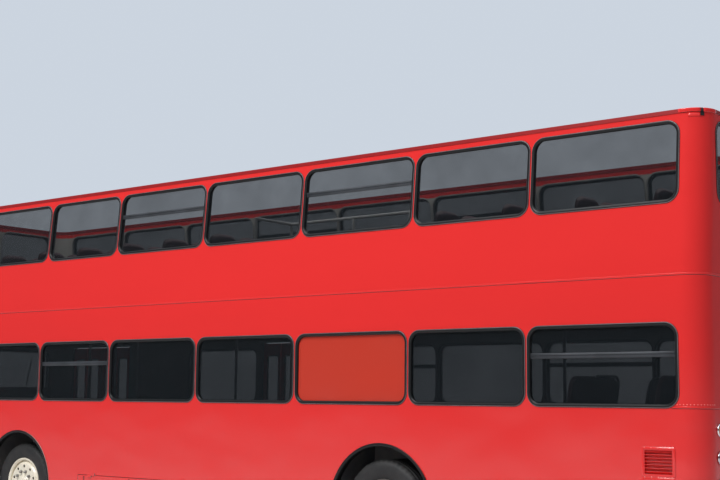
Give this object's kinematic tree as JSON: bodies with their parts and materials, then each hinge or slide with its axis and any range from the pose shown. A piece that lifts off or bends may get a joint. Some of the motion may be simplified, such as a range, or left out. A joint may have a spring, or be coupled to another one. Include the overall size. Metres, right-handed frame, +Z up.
{
  "type": "open-top double-deck bus",
  "caption": "Open-top double-deck bus with folding doors, an inner staircase, steered front wheels, twin rear wheels, a rear engine lid and seats on both decks.",
  "frame": {"origin": "on the road, under the middle of the overall box", "axes": "+X forward, +Y to the bus's left, +Z up"},
  "size_m": [11.5, 2.78, 3.941],
  "materials": {
    "body_paint": "gloss",
    "blank_paint": "gloss",
    "rail": "gloss",
    "glass": "clear",
    "floor": "matte",
    "frame_steel": "matte",
    "stairs": "satin",
    "tyre": "matte",
    "rim_front": "gloss",
    "rim_rear": "satin",
    "axle": "satin",
    "door": "gloss",
    "engine": "satin",
    "seat": "matte",
    "dash": "matte",
    "handrail": "satin",
    "bumper": "satin",
    "lamp_clear": "clear",
    "lamp_red": "clear",
    "mirror": "gloss"
  },
  "bodies": {
    "body": {"left_side_lower": "body_paint", "right_side_lower": "body_paint", "front_end_lower": "body_paint", "rear_end_lower": "body_paint", "left_side_upper": "body_paint", "right_side_upper": "body_paint", "front_end_upper": "body_paint", "rear_end_upper": "body_paint", "top_rail": "rail", "side_glass": "glass", "end_glass": "glass", "blank_panel": "blank_paint", "lower_floor": "floor", "rear_platform": "floor", "wheel_housings": "floor", "step_wells": "floor", "upper_floor": "floor", "stairs": "stairs", "chassis_frame": "frame_steel", "front_axle": "axle", "rear_axle": "axle", "louvres": "body_paint", "engine_block": "engine", "underfloor_boxes": "frame_steel", "lower_seats": "seat", "upper_seats": "seat", "cab_partition": "dash", "dashboard": "dash", "handrails": "handrail", "bumpers": "bumper", "front_lamps": "lamp_clear", "tail_lamps": "lamp_red", "mirrors": "mirror"},
    "steering_left": {"knuckle_left": "axle"},
    "wheel_front_left": {"tyre_front_left": "tyre", "rim_front_left": "rim_front"},
    "wheel_rear_left": {"tyre_rear_left": "tyre", "rim_rear_left": "rim_rear"},
    "steering_right": {"knuckle_right": "axle"},
    "wheel_front_right": {"tyre_front_right": "tyre", "rim_front_right": "rim_front"},
    "wheel_rear_right": {"tyre_rear_right": "tyre", "rim_rear_right": "rim_rear"},
    "hand_wheel": {"steering_wheel": "dash"},
    "door_mid_rear_post_leaf": {"door_mid_rear_post": "door"},
    "door_mid_rear_tip_leaf": {"door_mid_rear_tip": "door"},
    "door_mid_fore_post_leaf": {"door_mid_fore_post": "door"},
    "door_mid_fore_tip_leaf": {"door_mid_fore_tip": "door"},
    "door_front_rear_post_leaf": {"door_front_rear_post": "door"},
    "door_front_rear_tip_leaf": {"door_front_rear_tip": "door"},
    "door_front_fore_post_leaf": {"door_front_fore_post": "door"},
    "door_front_fore_tip_leaf": {"door_front_fore_tip": "door"},
    "rear_lid": {"engine_lid": "body_paint"},
    "side_flap": {"service_flap": "body_paint"}
  },
  "joints": [
    {"name": "steer_left", "type": "hinge", "parent": "body", "child": "steering_left", "pos_m": [3.15, 0.93, 0.48], "axis": [0, 0, 1], "range_deg": [-38, 38]},
    {"name": "roll_front_left", "type": "hinge", "parent": "steering_left", "child": "wheel_front_left", "pos_m": [3.15, 1.035, 0.48], "axis": [0, 1, 0], "continuous": true},
    {"name": "roll_rear_left", "type": "hinge", "parent": "body", "child": "wheel_rear_left", "pos_m": [-2.45, 1.075, 0.48], "axis": [0, 1, 0], "continuous": true},
    {"name": "steer_right", "type": "hinge", "parent": "body", "child": "steering_right", "pos_m": [3.15, -0.93, 0.48], "axis": [0, 0, 1], "range_deg": [-38, 38]},
    {"name": "roll_front_right", "type": "hinge", "parent": "steering_right", "child": "wheel_front_right", "pos_m": [3.15, -1.035, 0.48], "axis": [0, 1, 0], "continuous": true},
    {"name": "roll_rear_right", "type": "hinge", "parent": "body", "child": "wheel_rear_right", "pos_m": [-2.45, -1.075, 0.48], "axis": [0, 1, 0], "continuous": true},
    {"name": "turn_hand_wheel", "type": "hinge", "parent": "body", "child": "hand_wheel", "pos_m": [4.7, 0.7, 1.4], "axis": [-0.4226, 0, 0.9063], "range_deg": [-800, 800]},
    {"name": "door_mid_rear_swing", "type": "hinge", "parent": "body", "child": "door_mid_rear_post_leaf", "pos_m": [0.1885, -1.219, 1.3], "axis": [0, 0, 1], "range_deg": [0, 85]},
    {"name": "door_mid_rear_fold", "type": "hinge", "parent": "door_mid_rear_post_leaf", "child": "door_mid_rear_tip_leaf", "pos_m": [0.483, -1.241, 1.3], "axis": [0, 0, -1], "range_deg": [0, 170]},
    {"name": "door_mid_fore_swing", "type": "hinge", "parent": "body", "child": "door_mid_fore_post_leaf", "pos_m": [1.4005, -1.219, 1.3], "axis": [0, 0, -1], "range_deg": [0, 85]},
    {"name": "door_mid_fore_fold", "type": "hinge", "parent": "door_mid_fore_post_leaf", "child": "door_mid_fore_tip_leaf", "pos_m": [1.106, -1.241, 1.3], "axis": [0, 0, 1], "range_deg": [0, 170]},
    {"name": "door_front_rear_swing", "type": "hinge", "parent": "body", "child": "door_front_rear_post_leaf", "pos_m": [4.009, -1.219, 1.3], "axis": [0, 0, 1], "range_deg": [0, 85]},
    {"name": "door_front_rear_fold", "type": "hinge", "parent": "door_front_rear_post_leaf", "child": "door_front_rear_tip_leaf", "pos_m": [4.3035, -1.241, 1.3], "axis": [0, 0, -1], "range_deg": [0, 170]},
    {"name": "door_front_fore_swing", "type": "hinge", "parent": "body", "child": "door_front_fore_post_leaf", "pos_m": [5.221, -1.219, 1.3], "axis": [0, 0, -1], "range_deg": [0, 85]},
    {"name": "door_front_fore_fold", "type": "hinge", "parent": "door_front_fore_post_leaf", "child": "door_front_fore_tip_leaf", "pos_m": [4.9265, -1.241, 1.3], "axis": [0, 0, 1], "range_deg": [0, 170]},
    {"name": "lift_engine_lid", "type": "hinge", "parent": "body", "child": "rear_lid", "pos_m": [-5.716, 0, 1.333], "axis": [0, 1, 0], "range_deg": [0, 75]},
    {"name": "lift_service_flap", "type": "hinge", "parent": "body", "child": "side_flap", "pos_m": [1.01, 1.256, 0.633], "axis": [1, 0, 0], "range_deg": [0, 90]}
  ],
  "couplings": [
    {"joint": "steer_right", "follows": "steer_left", "ratio": 1},
    {"joint": "turn_hand_wheel", "follows": "steer_left", "ratio": 20},
    {"joint": "door_mid_rear_fold", "follows": "door_mid_rear_swing", "ratio": 2},
    {"joint": "door_mid_fore_fold", "follows": "door_mid_fore_swing", "ratio": 2},
    {"joint": "door_front_rear_fold", "follows": "door_front_rear_swing", "ratio": 2},
    {"joint": "door_front_fore_fold", "follows": "door_front_fore_swing", "ratio": 2}
  ]
}
